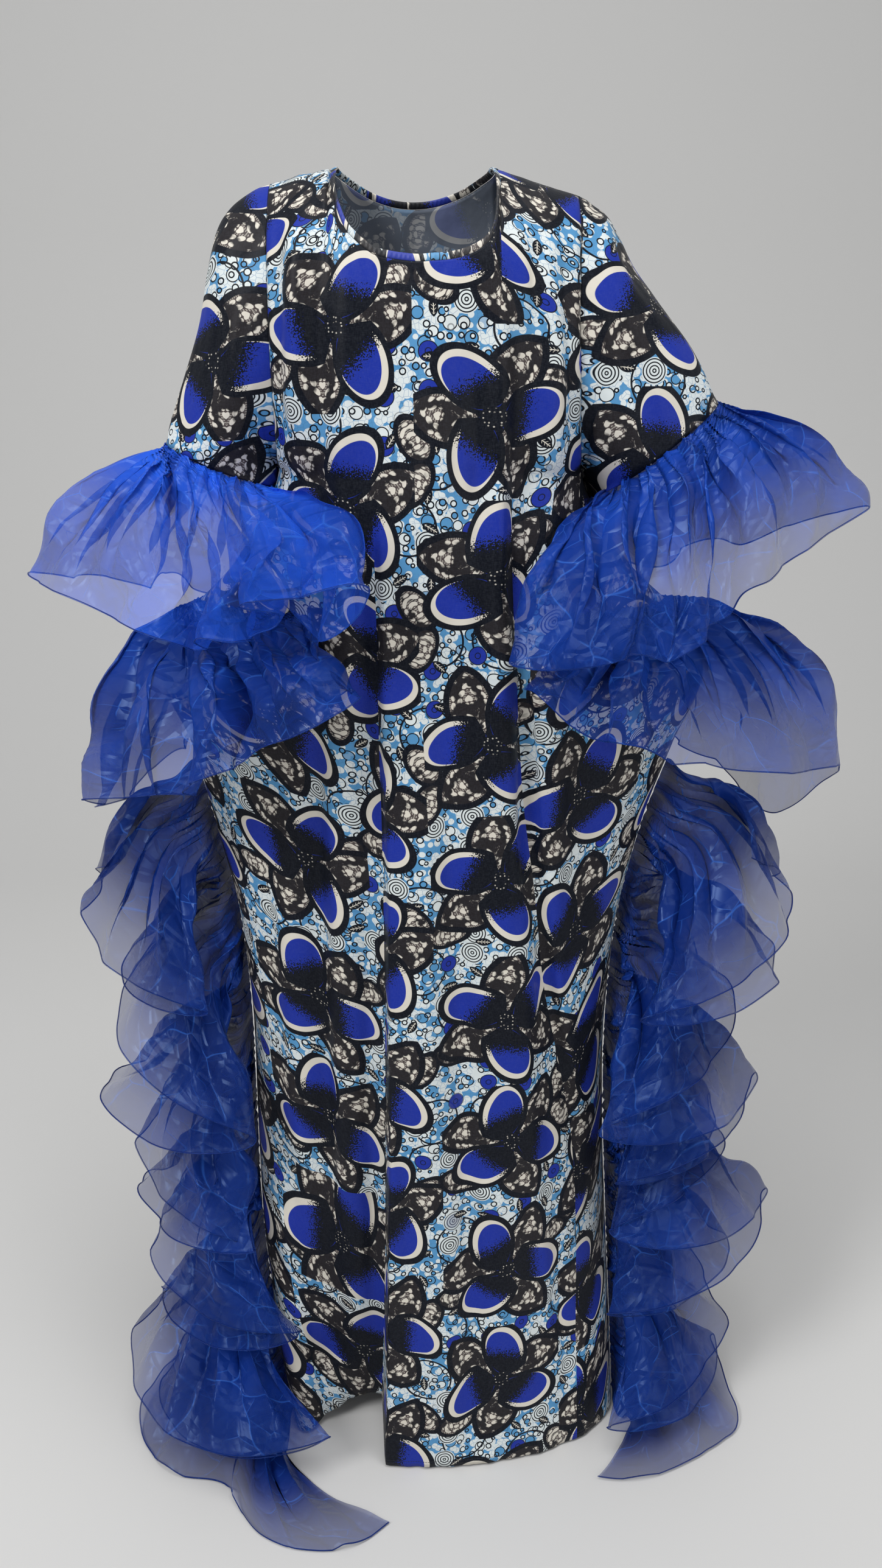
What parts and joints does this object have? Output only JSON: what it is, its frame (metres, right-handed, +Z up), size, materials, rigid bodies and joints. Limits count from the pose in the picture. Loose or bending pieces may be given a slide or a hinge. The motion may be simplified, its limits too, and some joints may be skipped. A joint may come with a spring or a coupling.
{
  "type": "ruffled wax print kaftan gown",
  "caption": "Loose floor-length gown of printed cotton in its hollow worn form, with a scoop neck, wide elbow sleeves and sheer ruffles at the cuffs, hips and side seams.",
  "frame": {"origin": "middle of the shoulder line between the two sides of the neck, where the wearer's shoulders hold the gown up", "axes": "+Z up, the gown's front faces -Y, +X towards the right of someone who looks at the front"},
  "size_m": [0.8832, 0.4645, 1.4541],
  "materials": {
    "print_cotton": "glossy waxed cotton with a blue, black and white print",
    "neck_binding": "bias strip of the same printed cotton, turned over the cut edge and puckered",
    "organza": "sheer crisp royal blue organza with a soft sheen"
  },
  "bodies": {
    "root": {"front_panel_yoke": "print_cotton", "front_panel_chest": "print_cotton", "front_panel_skirt": "print_cotton", "front_panel_hem": "print_cotton", "back_panel_yoke": "print_cotton", "back_panel_chest": "print_cotton", "back_panel_skirt": "print_cotton", "back_panel_hem": "print_cotton", "neck_binding": "neck_binding", "sleeve_left": "print_cotton", "sleeve_right": "print_cotton", "cuff_ruffle_left": "organza", "cuff_ruffle_right": "organza", "lower_ruffle_left": "organza", "lower_ruffle_right": "organza", "side_ruffle_left": "organza", "side_ruffle_right": "organza"}
  },
  "joints": []
}
